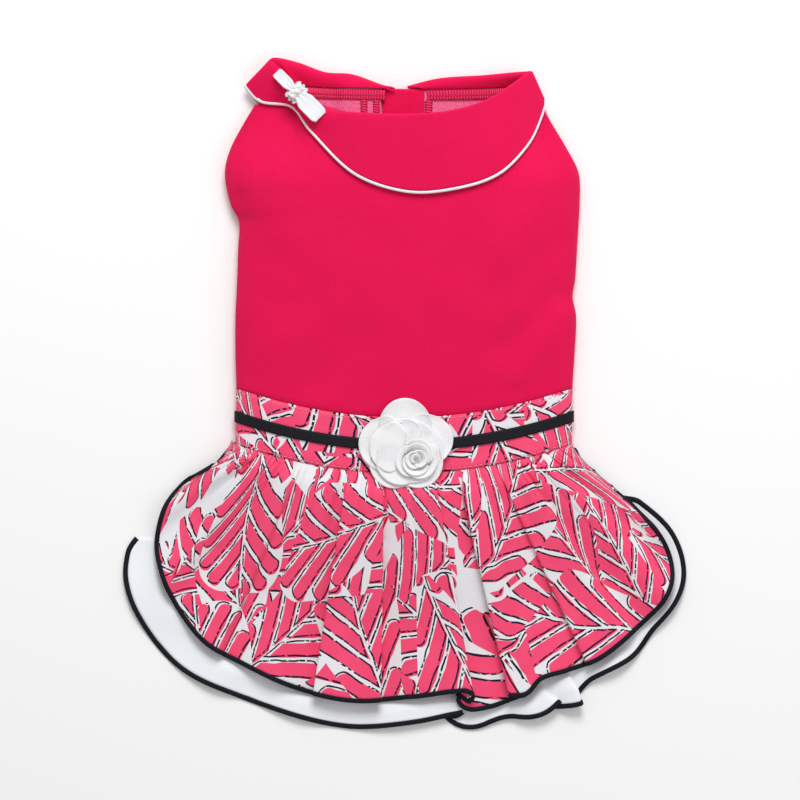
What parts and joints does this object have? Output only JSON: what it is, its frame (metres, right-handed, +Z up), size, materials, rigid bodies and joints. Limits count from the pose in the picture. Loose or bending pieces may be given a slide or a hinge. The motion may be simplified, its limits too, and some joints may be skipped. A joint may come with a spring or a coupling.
{
  "type": "dog dress",
  "caption": "Sleeveless dog dress lying on its belly: pink knit bodice with a rolled collar and bow, waistband with ribbon and flower, gathered skirt over an underskirt.",
  "frame": {"origin": "on the surface that the dress rests on, under the middle of the waist seam", "axes": "+Y towards the neck, +Z up from the surface, +X to the right in the picture"},
  "size_m": [0.322, 0.3832, 0.0328],
  "materials": {
    "knit": "brushed knit",
    "print": "printed cotton",
    "lining": "plain weave",
    "binding": "woven tape",
    "satin": "satin",
    "petal": "soft cotton",
    "pearl": "pearly"
  },
  "bodies": {
    "root": {"back_panel": "knit", "belly_left": "knit", "belly_right": "knit", "closure_tape": "knit", "collar": "knit", "neck_binding_left": "knit", "neck_binding_right": "knit", "waistband": "print", "skirt": "print", "underskirt": "lining", "waist_ribbon": "binding", "skirt_binding": "binding", "underskirt_binding": "binding", "collar_piping": "satin", "bow_loop_lower": "satin", "bow_loop_upper": "satin", "bow_frill": "satin", "bow_knot": "satin", "flower_outer_layer": "petal", "flower_inner_layer": "petal", "flower_rose": "petal", "bow_pearl_1": "pearl", "bow_pearl_2": "pearl", "bow_pearl_3": "pearl", "bow_pearl_4": "pearl", "bow_pearl_5": "pearl"}
  },
  "joints": []
}
